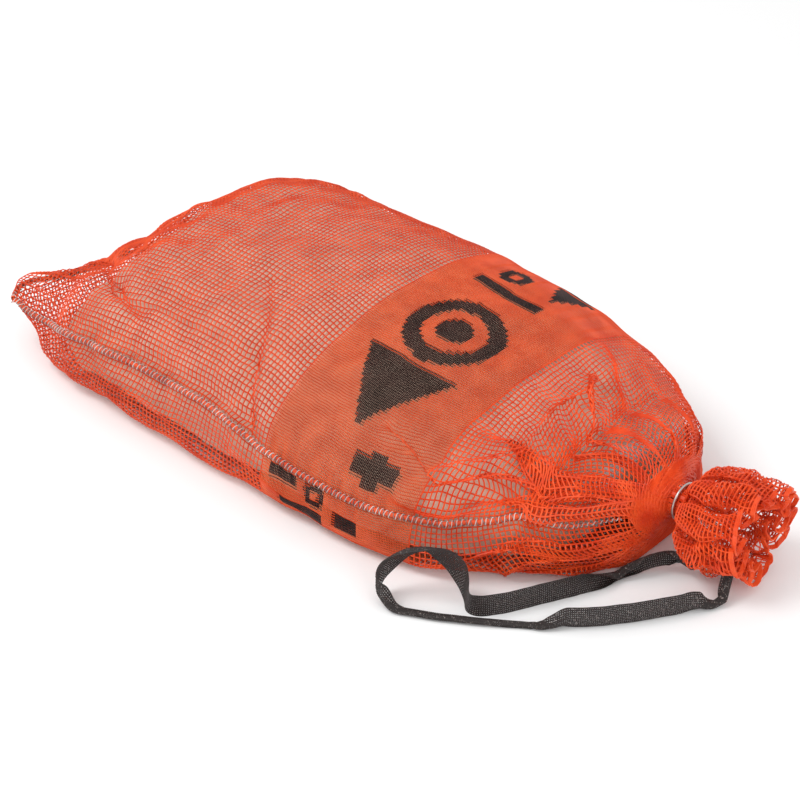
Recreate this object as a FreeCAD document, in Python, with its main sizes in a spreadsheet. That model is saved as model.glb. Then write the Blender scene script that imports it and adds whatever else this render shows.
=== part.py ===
"""Filled leno-mesh sack with a draw tape: an orange net sleeve around a nonwoven sorbent pillow.

The frame: +X runs along the sack from its bottom seam to its gathered mouth, the side seam faces -Y,
+Z is up and Z = 0 is the surface that the sack lies on. The origin is under the middle of the sack.
Sizes are in millimetres.
"""

import FreeCAD, Part
import Sketcher

import math
import os

from FreeCAD import Placement, Rotation, Vector

doc = FreeCAD.newDocument("mesh_sack")

# Driving dimensions: alias, value, what it is.
SIZES = [
    ("net_wall", 1.2, "thickness of the net, crossing threads included"),
    ("band_start", -20, "X of the woven band's edge nearer the bottom seam"),
    ("band_end", 122, "X of the woven band's edge nearer the mouth"),
    ("seam_end", -323.3, "X of the middle of the bottom seam"),
    ("seam_half", 137, "half of the bottom seam's length"),
    ("seam_yaw", 7.5, "turn of the bottom seam in plan, degrees"),
    ("seam_tilt", 6.5, "drop of the bottom seam towards its far end, degrees"),
    ("seam_height", 30, "Z of the middle of the bottom seam"),
    ("neck_start", 258, "X where the gathered neck begins"),
    ("neck_length", 12, "length of the gathered neck"),
    ("neck_radius", 13, "radius of the gathered neck"),
    ("neck_side", 11, "Y of the neck"),
    ("neck_height", 50, "Z of the neck"),
    ("ring_wire", 2.6, "diameter of the neck ring's wire"),
    ("ring_slack", 0.15, "gap between the neck and the ring"),
    ("ring_turn", 318, "angle that the open ring covers, degrees"),
    ("frill_length", 72, "length of the frill past the neck"),
    ("frill_radius", 41, "radius of the frill at its widest"),
    ("frill_yaw", 11, "turn of the frill's axis in plan, degrees"),
    ("frill_drop", 5.5, "drop of the frill's axis, degrees"),
    ("frill_lobes", 9, "number of folds round the frill"),
    ("frill_wave", 3.5, "height of the folds at the rim"),
    ("selvage_width", 4, "width of the woven edge round the mouth"),
    ("selvage_thick", 3, "thickness of the woven edge round the mouth"),
    ("thread_thick", 3.6, "thickness of an overlocked seam's chain of thread"),
    ("tape_width", 19, "width of the draw tape"),
    ("tape_thick", 1.2, "thickness of the draw tape"),
    ("liner_wall", 0.8, "thickness of the nonwoven liner"),
    ("fill_gap", 0.4, "gap between the liner and the fill"),
    ("seal_width", 10, "width of a heat-sealed fin"),
]
sheet = doc.addObject("Spreadsheet::Sheet", "Sizes")
for row, (alias, value, note) in enumerate(SIZES, start=1):
    sheet.set(f"A{row}", alias)
    sheet.set(f"B{row}", str(value))
    sheet.set(f"C{row}", note)
    sheet.setAlias(f"B{row}", alias)
doc.recompute()

NODES = []


def size(alias):
    return float(getattr(sheet, alias))


def node(obj, label):
    """Names an object, whose shape is then written to parts/LABEL.step."""
    obj.Label = label
    NODES.append(obj)
    return obj


def feature(name, shape):
    obj = doc.addObject("Part::Feature", name)
    obj.Shape = shape
    return obj


def boolean(kind, name, base, tool):
    obj = doc.addObject(f"Part::{kind}", name)
    obj.Base = base
    obj.Tool = tool
    return obj


def block(name, low, high):
    """A box between two corners, used to cut other shapes."""
    box = doc.addObject("Part::Box", name)
    box.Length, box.Width, box.Height = [b - a for a, b in zip(low, high)]
    box.Placement.Base = Vector(*low)
    return box


# ---- cross-sections of the lying sack ------------------------------------------------------------

SMOOTH_POINTS = 21  # round a section of the pillow, which is curved
NET_POINTS = 41  # round a section of the net, which is a polygon
CROWN_POWER = 2.35  # 2 is an ellipse, more is squarer
BELLY_POWER = 3.0
BELLY_DIP = 9.0  # how far a section would run below its flat underside
THIN_FLAT = math.radians(70)  # where the flat underside of a thin or round section begins


def signed_power(value, power):
    return math.copysign(abs(value) ** power, value)


def closed_wire(points):
    """A curve through points, closed by a straight line: the flat underside."""
    curve = Part.BSplineCurve()
    curve.interpolate(points)
    floor = Part.LineSegment(points[-1], points[0])
    return Part.Wire([curve.toShape(), floor.toShape()])


def straight_sided_wire(points):
    return Part.makePolygon([*points, points[0]])


def turns(far_flat, near_flat, count):
    """Angles round a section, from the far edge of its underside over the top to the near edge."""
    step = (math.pi + far_flat + near_flat) / (count - 1)
    return [-far_flat + k * step for k in range(count)]


def flat_turn(edge, ground):
    """How far below its widest line a side of a section meets the flat underside, as an angle."""
    share = (edge - ground) / (edge - ground + BELLY_DIP)
    return math.asin(share ** (BELLY_POWER / 2))


def section(x, near, far, near_edge, far_edge, top, ground, count):
    """Points across the full sack: near and far are its sides, and the edges are the widest lines."""
    middle, half = (near + far) / 2, (far - near) / 2
    points = []
    for turn in turns(flat_turn(far_edge, ground), flat_turn(near_edge, ground), count):
        rise = abs(math.sin(turn))
        edge = (near_edge + far_edge) / 2 + (far_edge - near_edge) / 2 * math.cos(turn)
        if math.sin(turn) >= 0:
            z = edge + (top - edge) * rise ** (2 / CROWN_POWER)
        else:
            z = edge - (edge - ground + BELLY_DIP) * rise ** (2 / BELLY_POWER)
        y = middle + half * signed_power(math.cos(turn), 2 / CROWN_POWER)
        points.append(Vector(x, y, z))
    points[0].z = ground
    points[-1].z = ground
    return points


def thin_section(x, side, height, half_width, half_thick, count, yaw=0.0, tilt=0.0):
    """Points across a flat closed end, which can be turned in plan and tilted."""
    points = []
    for turn in turns(THIN_FLAT, THIN_FLAT, count):
        across = half_width * signed_power(math.cos(turn), 2 / CROWN_POWER)
        rise = half_thick * signed_power(math.sin(turn), 2 / CROWN_POWER)
        points.append(
            Vector(
                x + across * math.sin(math.radians(yaw)),
                side + across * math.cos(math.radians(yaw)),
                height - across * math.tan(math.radians(tilt)) + rise,
            )
        )
    return points


def neck_section(x, side, height, radius, count):
    points = []
    for turn in turns(THIN_FLAT, THIN_FLAT, count):
        points.append(Vector(x, side + radius * math.cos(turn), height + radius * math.sin(turn)))
    return points


def folded_section(x, side, height, radius, wave):
    """A closed curve round the frill, with its folds."""
    lobes = int(size("frill_lobes"))
    count = 8 * lobes
    points = []
    for k in range(count):
        turn = 2 * math.pi * k / count
        r = radius + wave * math.cos(lobes * turn)
        points.append(Vector(x, side + r * math.cos(turn), height + r * math.sin(turn)))
    curve = Part.BSplineCurve()
    curve.interpolate(Points=points, PeriodicFlag=True)
    return Part.Wire([curve.toShape()])


def with_halfway(stations):
    """Adds a station halfway along each inner span, on a smooth curve through its neighbours."""
    filled = [stations[0]]
    for k in range(1, len(stations)):
        a, b = stations[k - 1], stations[k]
        if 1 < k < len(stations) - 1:
            outer = zip(stations[k - 2], a, b, stations[k + 1])
            filled.append(tuple((9 * (q + r) - p - s) / 16 for p, q, r, s in outer))
        filled.append(b)
    return filled


# Stations along the net: X, near side, far side, heights of the near and far widest lines, top.
NET_STATIONS = [
    (-285, -144, 147, 26, 37, 72),
    (-245, -150, 153, 21, 42, 101),
    (-180, -153, 157, 19, 46, 116),
    (-60, -157, 158, 18, 46, 120),
    (60, -155.5, 154, 18, 46, 117),
    (130, -142, 141, 18, 45, 106),
    (180, -110, 120, 20, 43, 93),
    (220, -73, 89, 26, 42, 80),
    (245, -40, 57, 37, 45, 71),
]
SEAM_HALF_THICK = 2.6
SUNK = 0.6  # how far the uncut form runs below the surface that the sack lies on


def station_at(x):
    """The station at x, on a straight line between its neighbours."""
    stations = with_halfway(NET_STATIONS)
    for a, b in zip(stations, stations[1:]):
        if a[0] <= x <= b[0]:
            share = (x - a[0]) / (b[0] - a[0])
            return tuple(p + (q - p) * share for p, q in zip(a, b))
    raise ValueError(f"no station at {x}")


def zone_stations(low, high):
    """The stations of one zone of the net. A zone with no low or no high ends at the seam or neck."""
    inner = [
        station
        for station in with_halfway(NET_STATIONS)
        if (low is None or station[0] > low) and (high is None or station[0] < high)
    ]
    first = [] if low is None else [station_at(low)]
    last = [] if high is None else [station_at(high)]
    return first + inner + last


def zone_form(name, low, high, inset, ground):
    """One zone of the sack's form, shrunk by inset and flat below at ground."""
    rings = [
        section(x, near + inset, far - inset, near_edge, far_edge, top - inset, ground, NET_POINTS)
        for x, near, far, near_edge, far_edge, top in zone_stations(low, high)
    ]
    if low is None:
        seam = thin_section(
            size("seam_end") + inset,
            0,
            size("seam_height"),
            size("seam_half") - inset,
            SEAM_HALF_THICK - inset,
            NET_POINTS,
            size("seam_yaw"),
            size("seam_tilt"),
        )
        rings.insert(0, seam)
    if high is None:
        x, side, height = size("neck_start"), size("neck_side"), size("neck_height")
        rings.append(neck_section(x, side, height, size("neck_radius") - inset, NET_POINTS))
    wires = [straight_sided_wire(ring) for ring in rings]
    return feature(name, Part.makeLoft(wires, True, True))


REACH = 400  # further than any piece reaches from the origin
DEEP = 60


def above(name, base, level):
    """The part of a form that lies above a level, which makes its flat underside."""
    ground = block(name + "_ground", (-REACH, -REACH, level - DEEP), (REACH, REACH, level))
    return boolean("Cut", name, base, ground)


def make_net():
    """One tubular net in three woven zones, which meet face to face."""
    wall = size("net_wall")
    zones = [
        ("net_lower", None, size("band_start")),
        ("woven_band", size("band_start"), size("band_end")),
        ("net_upper", size("band_end"), None),
    ]
    for label, low, high in zones:
        outside = above(label + "_on_floor", zone_form(label + "_outside", low, high, 0, -SUNK), 0)
        inside = zone_form(label + "_inside", low, high, wall, wall)
        node(boolean("Cut", label + "_skin", outside, inside), label)


# ---- the pillow inside ---------------------------------------------------------------------------

LINER_STATIONS = [
    (-246, -128, 130, 36, 44, 82),
    (-205, -137, 144, 36, 45, 105),
    (-150, -141, 148, 36, 46, 112),
    (-60, -144, 149, 36, 46, 115),
    (60, -142, 145, 36, 46, 112),
    (130, -130, 131, 36, 45, 100),
    (178, -100, 109, 36, 43, 86),
    (206, -70, 84, 38, 42, 73),
]
LINER_FLOOR = 2.0
LINER_END_HALF_THICK = 2.6
LINER_FIRST = (-262, -118, 120, 44)
LINER_LAST = (220, -46, 58, 43)


def pillow_form(name, inset):
    """The pillow's outer form, shrunk by inset and closed to a thin seal at each end."""
    ends = []
    for (x, near, far, edge), shift in ((LINER_FIRST, inset), (LINER_LAST, -inset)):
        half, thick = (far - near) / 2 - inset, LINER_END_HALF_THICK - inset
        ends.append(thin_section(x + shift, (near + far) / 2, edge, half, thick, SMOOTH_POINTS))
    ground, count = LINER_FLOOR + inset, SMOOTH_POINTS
    middle = [
        section(x, near + inset, far - inset, near_edge, far_edge, top - inset, ground, count)
        for x, near, far, near_edge, far_edge, top in with_halfway(LINER_STATIONS)
    ]
    wires = [closed_wire(ring) for ring in (ends[0], *middle, ends[1])]
    return feature(name, Part.makeLoft(wires, True, True))


def make_pillow():
    """The nonwoven liner as a shell, the loose fill inside it, and the two sealed fins."""
    wall = size("liner_wall")
    outside = pillow_form("liner_outside", 0)
    inside = pillow_form("liner_inside", wall)
    node(boolean("Cut", "liner_shell", outside, inside), "liner")
    node(pillow_form("fill_form", wall + size("fill_gap")), "sorbent_fill")
    for label, (x, near, far, edge), sign in (
        ("liner_bottom_seal", LINER_FIRST, -1),
        ("liner_top_seal", LINER_LAST, 1),
    ):
        fin = doc.addObject("Part::Box", label)
        fin.setExpression("Length", "Sizes.seal_width")
        fin.setExpression("Height", "Sizes.liner_wall * 2")
        fin.Width = 0.8 * (far - near)
        fin_x = x if sign > 0 else x - size("seal_width")
        fin.Placement.Base = Vector(fin_x, (near + far) / 2 - 0.4 * (far - near), edge - wall)
        node(fin, label)


# ---- the neck, its ring and the frill ------------------------------------------------------------


def make_neck():
    """The pleats of the net, bunched solid where the ring grips them."""
    stem = doc.addObject("Part::Cylinder", "neck_stem")
    stem.setExpression("Radius", "Sizes.neck_radius")
    stem.setExpression("Height", "Sizes.neck_length")
    stem.Placement = Placement(
        Vector(size("neck_start"), size("neck_side"), size("neck_height")),
        Rotation(Vector(0, 1, 0), 90),
    )
    node(stem, "neck_gather")


def make_ring():
    """The open steel ring closed round the neck: a circle turned about the neck's own axis."""
    body = doc.addObject("PartDesign::Body", "ring_body")
    plane = next(f for f in body.Origin.OriginFeatures if f.Role == "XY_Plane")
    sketch = body.newObject("Sketcher::SketchObject", "ring_wire_profile")
    sketch.AttachmentSupport = [(plane, "")]
    sketch.MapMode = "FlatFace"
    start = size("neck_radius") + size("ring_slack") + size("ring_wire") / 2
    sketch.addGeometry(Part.Circle(Vector(start, 0, 0), Vector(0, 0, 1), size("ring_wire") / 2))
    sketch.addConstraint(Sketcher.Constraint("Diameter", 0, size("ring_wire")))
    sketch.addConstraint(Sketcher.Constraint("PointOnObject", 0, 3, -1))
    sketch.addConstraint(Sketcher.Constraint("DistanceX", -1, 1, 0, 3, start))
    sketch.setExpression("Constraints[0]", "Sizes.ring_wire")
    sketch.setExpression(
        "Constraints[2]", "Sizes.neck_radius + Sizes.ring_slack + Sizes.ring_wire / 2"
    )
    doc.recompute()
    turn = body.newObject("PartDesign::Revolution", "ring_turn")
    turn.Profile = sketch
    turn.ReferenceAxis = (sketch, ["V_Axis"])
    turn.setExpression("Angle", "Sizes.ring_turn")
    body.Tip = turn
    # The sketch's Y axis becomes the neck's axis, and the gap faces down towards the near side.
    body.Placement = Placement(
        Vector(size("neck_start") + size("neck_length") / 2, size("neck_side"), size("neck_height")),
        Rotation(Vector(1, 0, 0), 230) * Rotation(Vector(0, 0, 1), -90),
    )
    node(body, "neck_ring")


# Along the frill: share of its length, share of its radius, share of its folds' height.
FRILL_STATIONS = [
    (0.0, 0.30, 0.0),
    (0.14, 0.52, 0.3),
    (0.34, 0.80, 0.6),
    (0.62, 0.96, 0.9),
    (0.86, 1.0, 1.0),
    (1.0, 0.99, 1.0),
]
DISH_STATIONS = [(0.72, 0.22, 0.0), (0.88, 0.55, 0.4), (1.0, 0.80, 1.0)]


def frill_centre(along):
    """The frill's axis at a distance past the neck: Y and Z."""
    side = size("neck_side") + along * math.tan(math.radians(size("frill_yaw")))
    height = size("neck_height") - along * math.tan(math.radians(size("frill_drop")))
    return side, height


def frill_form(name, stations):
    start = size("neck_start") + size("neck_length")
    wires = []
    for length, radius, wave in stations:
        along = length * size("frill_length")
        side, height = frill_centre(along)
        wires.append(
            folded_section(
                start + along,
                side,
                height,
                radius * size("frill_radius"),
                wave * size("frill_wave"),
            )
        )
    return feature(name, Part.makeLoft(wires, True, False))


def make_frill():
    """The mouth of the net past the ring, a bell of folds with a dished end."""
    bell = frill_form("frill_bell", FRILL_STATIONS)
    dish = frill_form("frill_dish", DISH_STATIONS)
    node(above("frill_on_floor", boolean("Cut", "frill_dished", bell, dish), 0), "frill")


def make_selvage():
    """The woven edge of the net round the frill's rim."""
    start = size("neck_start") + size("neck_length") + size("frill_length")
    side, height = frill_centre(size("frill_length"))
    outer = FRILL_STATIONS[-1][1] * size("frill_radius")
    through = Vector(size("selvage_thick"), 0, 0)
    discs = [
        Part.Face(folded_section(start, side, height, radius, size("frill_wave"))).extrude(through)
        for radius in (outer, outer - size("selvage_width"))
    ]
    edge = boolean("Cut", "selvage_ring", feature("rim", discs[0]), feature("mouth", discs[1]))
    node(above("selvage_on_floor", edge, 0), "mouth_selvage")


# ---- cords: seam threads and the draw tape -------------------------------------------------------

ARC_SHARE = 0.45


def rounded_path(points, name):
    """Straight runs joined by tangent arcs, each as large as its two runs allow."""
    points = [Vector(*p) for p in points]
    edges, radii, here = [], [], points[0]
    for before, corner, after in zip(points, points[1:], points[2:]):
        run_in, run_out = corner - before, after - corner
        turn = run_in.getAngle(run_out)
        cut = ARC_SHARE * min(run_in.Length, run_out.Length)
        radius = cut / math.tan(turn / 2)
        start = corner - Vector(run_in).normalize() * cut
        end = corner + Vector(run_out).normalize() * cut
        inward = (Vector(run_out).normalize() - Vector(run_in).normalize()).normalize()
        middle = corner + inward * (radius / math.cos(turn / 2) - radius)
        edges.append(Part.LineSegment(here, start).toShape())
        edges.append(Part.Arc(start, middle, end).toShape())
        radii.append(radius)
        here = end
    edges.append(Part.LineSegment(here, points[-1]).toShape())
    length = sum(edge.Length for edge in edges)
    print(f"{name}: length {length:.0f} mm, radii", " ".join(f"{r:.0f}" for r in radii))
    return Part.Wire(edges), length


def swept(path, profile, upright):
    """A profile carried along a path; upright keeps its tall side vertical all the way."""
    pipe = Part.BRepOffsetAPI.MakePipeShell(path)
    if upright:
        pipe.setBiNormalMode(Vector(0, 0, 1))
    pipe.add(profile)
    pipe.build()
    pipe.makeSolid()
    return pipe.shape()


def start_of(path):
    edge = path.OrderedEdges[0]
    return edge.valueAt(edge.FirstParameter), edge.tangentAt(edge.FirstParameter)


def round_cord(points, thick, name):
    path, length = rounded_path(points, name)
    at, along = start_of(path)
    profile = Part.Wire([Part.Circle(at, along, thick / 2).toShape()])
    shape = swept(path, profile, False)
    wanted = math.pi * thick * thick / 4 * length
    print(f"{name}: volume {shape.Volume:.0f}, section times length {wanted:.0f} mm3")
    return shape


# The side seam follows the net's near side, from the bottom seam's near end to the neck.
SIDE_SEAM_ROUTE = [
    (-334, -141, 47),
    (-310, -143, 46),
    (-280, -140.1, 46),
    (-240, -147.6, 50),
    (-180, -151.2, 51),
    (-110, -154.2, 51),
    (-40, -156.2, 50),
    (30, -155.5, 50),
    (90, -150.4, 50),
    (130, -139.9, 50),
    (160, -122.8, 50),
    (184, -105.2, 49),
    (206, -87.5, 46),
    (226, -67.3, 44),
    (241, -48, 46),
]


def make_seams():
    """The overlock chains that close the net's side and its bottom."""
    thick = size("thread_thick")
    node(feature("side_chain", round_cord(SIDE_SEAM_ROUTE, thick, "side seam")), "side_seam_thread")
    chain = doc.addObject("Part::Cylinder", "bottom_chain")
    chain.setExpression("Radius", "Sizes.thread_thick / 2")
    chain.setExpression("Height", "Sizes.seam_half * 2")
    across = Rotation(Vector(0, 0, 1), -size("seam_yaw")) * Rotation(
        Vector(1, 0, 0), -90 - size("seam_tilt")
    )
    along = across.multVec(Vector(0, 0, 1))
    middle = Vector(size("seam_end") - thick / 2 - 0.4, 0, size("seam_height"))
    chain.Placement = Placement(middle - along * size("seam_half"), across)
    node(chain, "bottom_seam_thread")


# The tape's loop outside the frill: out under the frill's near side, along the floor, back on itself
# in a sharp fold, up against the sack's side, round, and along the floor to the frill's far end.
TAPE_ROUTE = [
    (292, -12, 14.5),
    (281, -10, 16),
    (269, -13, 15),
    (257, -26, 12),
    (248, -46, 10),
    (236, -79, 9.8),
    (217, -116, 9.8),
    (200, -146, 9.8),
    (188, -153, 10.5),
    (179, -144, 15),
    (170, -140, 24),
    (159, -143, 35),
    (148, -150, 41),
    (136, -159, 39),
    (126, -168, 31),
    (121, -178, 20),
    (126, -187, 12),
    (140, -189, 9.8),
    (159, -181, 9.8),
    (192, -163, 9.8),
    (225, -141, 9.8),
    (250, -122, 9.8),
    (274, -98, 9.8),
    (297, -67, 9.8),
    (318, -35, 9.8),
    (325, -19, 9.8),
]


def make_tape():
    """The flat draw tape, standing on its edge."""
    path, length = rounded_path(TAPE_ROUTE, "draw tape")
    at, along = start_of(path)
    flat = Vector(along.x, along.y, 0).normalize()
    side = Vector(-flat.y, flat.x, 0) * (size("tape_thick") / 2)
    up = Vector(0, 0, size("tape_width") / 2)
    corners = [at - side - up, at + side - up, at + side + up, at - side + up]
    profile = Part.makePolygon([*corners, corners[0]])
    shape = swept(path, profile, True)
    wanted = size("tape_width") * size("tape_thick") * length
    print(f"draw tape: volume {shape.Volume:.0f}, section times length {wanted:.0f} mm3")
    node(feature("tape_loop", shape), "draw_tape")


make_net()
make_pillow()
make_neck()
make_ring()
make_frill()
make_selvage()
make_seams()
make_tape()
doc.recompute()

failed = [o.Name for o in doc.Objects if {"Invalid", "Error"} & set(o.State)]
failed += [o.Label for o in NODES if o.Shape.isNull() or not o.Shape.isValid()]
if failed:
    raise RuntimeError(f"these failed: {failed}")
os.makedirs("parts", exist_ok=True)
for obj in NODES:
    obj.Shape.exportStep(f"parts/{obj.Label}.step")
    box = obj.Shape.BoundBox
    print(
        f"{obj.Label}: {len(obj.Shape.Solids)} solid, {obj.Shape.Volume / 1000:.1f} cm3,",
        f"X {box.XMin:.1f} {box.XMax:.1f} Y {box.YMin:.1f} {box.YMax:.1f} Z {box.ZMin:.1f} {box.ZMax:.1f}",
    )
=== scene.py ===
"""Looks of the filled leno-mesh sack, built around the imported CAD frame.

The net is modelled thread by thread. Its form is a grid of points: a row for each weft, which runs
round the sack, and a column for each warp, which runs from the bottom seam to the mouth. Sizes in
this script are in millimetres, and a mesh is turned into metres when it is made.
"""

import math

import bpy
import numpy as np
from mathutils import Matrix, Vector


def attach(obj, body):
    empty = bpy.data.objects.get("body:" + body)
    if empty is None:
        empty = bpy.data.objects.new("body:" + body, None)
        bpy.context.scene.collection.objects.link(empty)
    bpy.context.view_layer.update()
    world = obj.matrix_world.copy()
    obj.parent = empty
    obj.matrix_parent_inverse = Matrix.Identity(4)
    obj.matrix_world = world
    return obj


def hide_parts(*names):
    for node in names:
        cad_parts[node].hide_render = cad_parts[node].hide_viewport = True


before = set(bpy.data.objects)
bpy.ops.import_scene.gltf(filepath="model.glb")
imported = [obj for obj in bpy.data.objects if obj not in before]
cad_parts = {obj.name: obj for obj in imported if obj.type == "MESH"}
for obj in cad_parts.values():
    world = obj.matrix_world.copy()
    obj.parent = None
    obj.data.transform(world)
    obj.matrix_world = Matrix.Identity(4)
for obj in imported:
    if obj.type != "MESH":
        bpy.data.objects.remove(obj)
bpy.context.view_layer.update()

MM = 0.001
TAU = 2 * math.pi

# ---- camera, floor and light ---------------------------------------------------------------------

CAMERA_AZIMUTH = 41.0
CAMERA_ELEVATION = 36.0
CAMERA_DISTANCE = 2.2
CAMERA_TARGET = Vector((0.015, -0.032, 0.050))
CAMERA_LENS = 123.75


def make_camera():
    turn, rise = math.radians(CAMERA_AZIMUTH), math.radians(CAMERA_ELEVATION)
    level = math.cos(rise)
    back = Vector((math.sin(turn) * level, -math.cos(turn) * level, math.sin(rise)))
    camera = bpy.data.objects.new("camera", bpy.data.cameras.new("camera"))
    camera.data.lens = CAMERA_LENS
    camera.location = CAMERA_TARGET + back * CAMERA_DISTANCE
    camera.rotation_euler = back.to_track_quat("Z", "Y").to_euler()
    bpy.context.collection.objects.link(camera)
    bpy.context.scene.camera = camera


def area_light(name, place, aim, across, power):
    light = bpy.data.objects.new(name, bpy.data.lights.new(name, "AREA"))
    light.data.size = across
    light.data.energy = power
    light.location = place
    light.rotation_euler = (Vector(place) - Vector(aim)).to_track_quat("Z", "Y").to_euler()
    bpy.context.collection.objects.link(light)


def make_stage():
    bpy.ops.mesh.primitive_plane_add(size=12)
    floor = bpy.context.object
    floor.name = "floor"
    floor.data.materials.append(plain_surface("floor_paper", (0.93, 0.93, 0.93), 0.9))
    world = bpy.data.worlds.new("studio")
    world.use_nodes = True
    world.node_tree.nodes["Background"].inputs["Color"].default_value = (1, 1, 1, 1)
    world.node_tree.nodes["Background"].inputs["Strength"].default_value = 0.85
    bpy.context.scene.world = world
    bpy.context.scene.view_settings.view_transform = "Standard"
    area_light("key", (-0.7, -0.9, 1.7), (0, 0, 0.05), 0.9, 17)
    area_light("fill", (1.6, -0.9, 1.1), (0, 0, 0.05), 1.2, 7)


# ---- materials -----------------------------------------------------------------------------------


class Surface:
    """A Principled material and a short way to add nodes to it."""

    def __init__(self, name, rough, **settings):
        self.material = bpy.data.materials.new(name)
        self.material.use_nodes = True
        self.nodes = self.material.node_tree.nodes
        self.links = self.material.node_tree.links
        self.shader = self.nodes["Principled BSDF"]
        self.set("Roughness", rough)
        for key, value in settings.items():
            self.set(key.replace("_", " "), value)

    def set(self, socket, value):
        self.shader.inputs[socket].default_value = value

    def add(self, kind, **inputs):
        made = self.nodes.new(kind)
        for key, value in inputs.items():
            socket = made.inputs[key.replace("_", " ")]
            if isinstance(value, bpy.types.NodeSocket):
                self.links.new(value, socket)
            else:
                socket.default_value = value
        return made

    def place(self):
        return self.add("ShaderNodeTexCoord").outputs["Object"]

    def noise(self, scale, detail=3.0, vector=None):
        made = self.add("ShaderNodeTexNoise", Scale=scale, Detail=detail)
        self.links.new(vector or self.place(), made.inputs["Vector"])
        return made.outputs["Fac"]

    def shades(self, fac, stops):
        """The base colour: a ramp of (position, colour) stops read at fac."""
        ramp = self.nodes.new("ShaderNodeValToRGB")
        elements = ramp.color_ramp.elements
        while len(elements) < len(stops):
            elements.new(0.5)
        for element, (position, colour) in zip(elements, stops):
            element.position = position
            element.color = (*colour, 1)
        self.links.new(fac, ramp.inputs["Fac"])
        self.links.new(ramp.outputs["Color"], self.shader.inputs["Base Color"])

    def bump(self, height, strength, distance):
        made = self.add("ShaderNodeBump", Height=height, Strength=strength, Distance=distance)
        self.links.new(made.outputs["Normal"], self.shader.inputs["Normal"])


def plain_surface(name, colour, rough):
    surface = Surface(name, rough)
    surface.set("Base Color", (*colour, 1))
    return surface.material


def net_surface(name, pale, deep, rough=0.42):
    """Polyethylene tape: each thread drifts between a paler and a deeper shade."""
    surface = Surface(name, rough, Specular_IOR_Level=0.25)
    surface.shades(surface.noise(55.0), [(0.35, deep), (0.65, pale)])
    surface.bump(surface.noise(2500.0, 2.0), 0.35, 0.0002)
    return surface.material


def knitted_surface(name, dark, light):
    """Dark knitted tape with painted glints: fine light specks in its base colour stand in for where it
    catches the light.
    """
    surface = Surface(name, 0.6)
    # Painted glints: the ramp's top stop puts sparse bright specks into the base colour.
    surface.shades(surface.noise(650.0, 2.0), [(0.0, dark), (0.58, dark), (0.72, light)])
    surface.bump(surface.noise(1800.0, 2.0), 0.5, 0.0003)
    return surface.material


def liner_surface():
    """Spunbond liner over loose fill: pale, a little uneven, with a fibrous face, tinted peach by painted
    orange light bounced onto it from the net.
    """
    surface = Surface("spunbond", 0.85)
    # The peach in these tones is painted bounce light from the orange net, over the liner's own pale
    # colour.
    surface.shades(surface.noise(35.0, 5.0), [(0.3, (0.64, 0.44, 0.33)), (0.7, (0.73, 0.54, 0.42))])
    surface.bump(surface.noise(420.0, 5.0), 0.5, 0.0012)
    return surface.material


def fill_surface():
    """Loose fibrous sorbent."""
    surface = Surface("sorbent_fibre", 0.95)
    surface.shades(surface.noise(60.0, 6.0), [(0.35, (0.62, 0.58, 0.54)), (0.65, (0.80, 0.77, 0.73))])
    surface.bump(surface.noise(260.0, 6.0), 0.8, 0.002)
    return surface.material


def steel_surface():
    surface = Surface("ring_steel", 0.34, Metallic=1.0)
    surface.set("Base Color", (0.56, 0.52, 0.49, 1))
    surface.bump(surface.noise(900.0, 2.0), 0.15, 0.0002)
    return surface.material


# ---- smooth random relief ------------------------------------------------------------------------

WAVES = 14


def drift(places, wavelength, seed):
    """Smooth noise of about unit height: plane waves in random directions."""
    chance = np.random.default_rng(seed)
    total = np.zeros(places.shape[:-1])
    for _ in range(WAVES):
        heading = chance.normal(size=3)
        heading /= np.linalg.norm(heading)
        period = wavelength * chance.uniform(0.7, 1.5)
        total += np.sin(places @ heading * (TAU / period) + chance.uniform(0, TAU))
    return total / math.sqrt(WAVES)


def eased(values, start, end):
    """0 before start, 1 after end, smooth between."""
    share = np.clip((np.asarray(values, float) - start) / (end - start), 0, 1)
    return share * share * (3 - 2 * share)


def unit(vectors):
    return vectors / np.maximum(np.linalg.norm(vectors, axis=-1, keepdims=True), 1e-9)


def lengths_along(line):
    """How far along an open line each of its points lies."""
    steps = np.linalg.norm(np.diff(line, axis=0), axis=1)
    return np.concatenate([[0], np.cumsum(steps)])


# ---- form of the sack ----------------------------------------------------------------------------

# Stations along the net: X, near side, far side, heights of the near and far widest lines, top.
NET_STATIONS = [
    (-285, -144, 147, 26, 37, 72),
    (-245, -150, 153, 21, 42, 101),
    (-180, -153, 157, 19, 46, 116),
    (-60, -157, 158, 18, 46, 120),
    (60, -155.5, 154, 18, 46, 117),
    (130, -142, 141, 18, 45, 106),
    (180, -110, 120, 20, 43, 93),
    (220, -73, 89, 26, 42, 80),
    (245, -40, 57, 37, 45, 71),
]
# The side seam rises and falls on the near side: X, height.
SEAM_LINE = [
    (-285, 45),
    (-231, 54),
    (-177, 59),
    (-95, 61),
    (-62, 58),
    (-24, 51),
    (62, 46),
    (142, 47),
    (166, 52),
    (188, 59),
    (216, 50),
    (245, 52),
]
SEAM_END, SEAM_HALF, SEAM_HEIGHT, SEAM_THICK = -323.3, 137.0, 30.0, 2.2
SEAM_YAW, SEAM_TILT = math.radians(7.5), math.radians(6.5)
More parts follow.
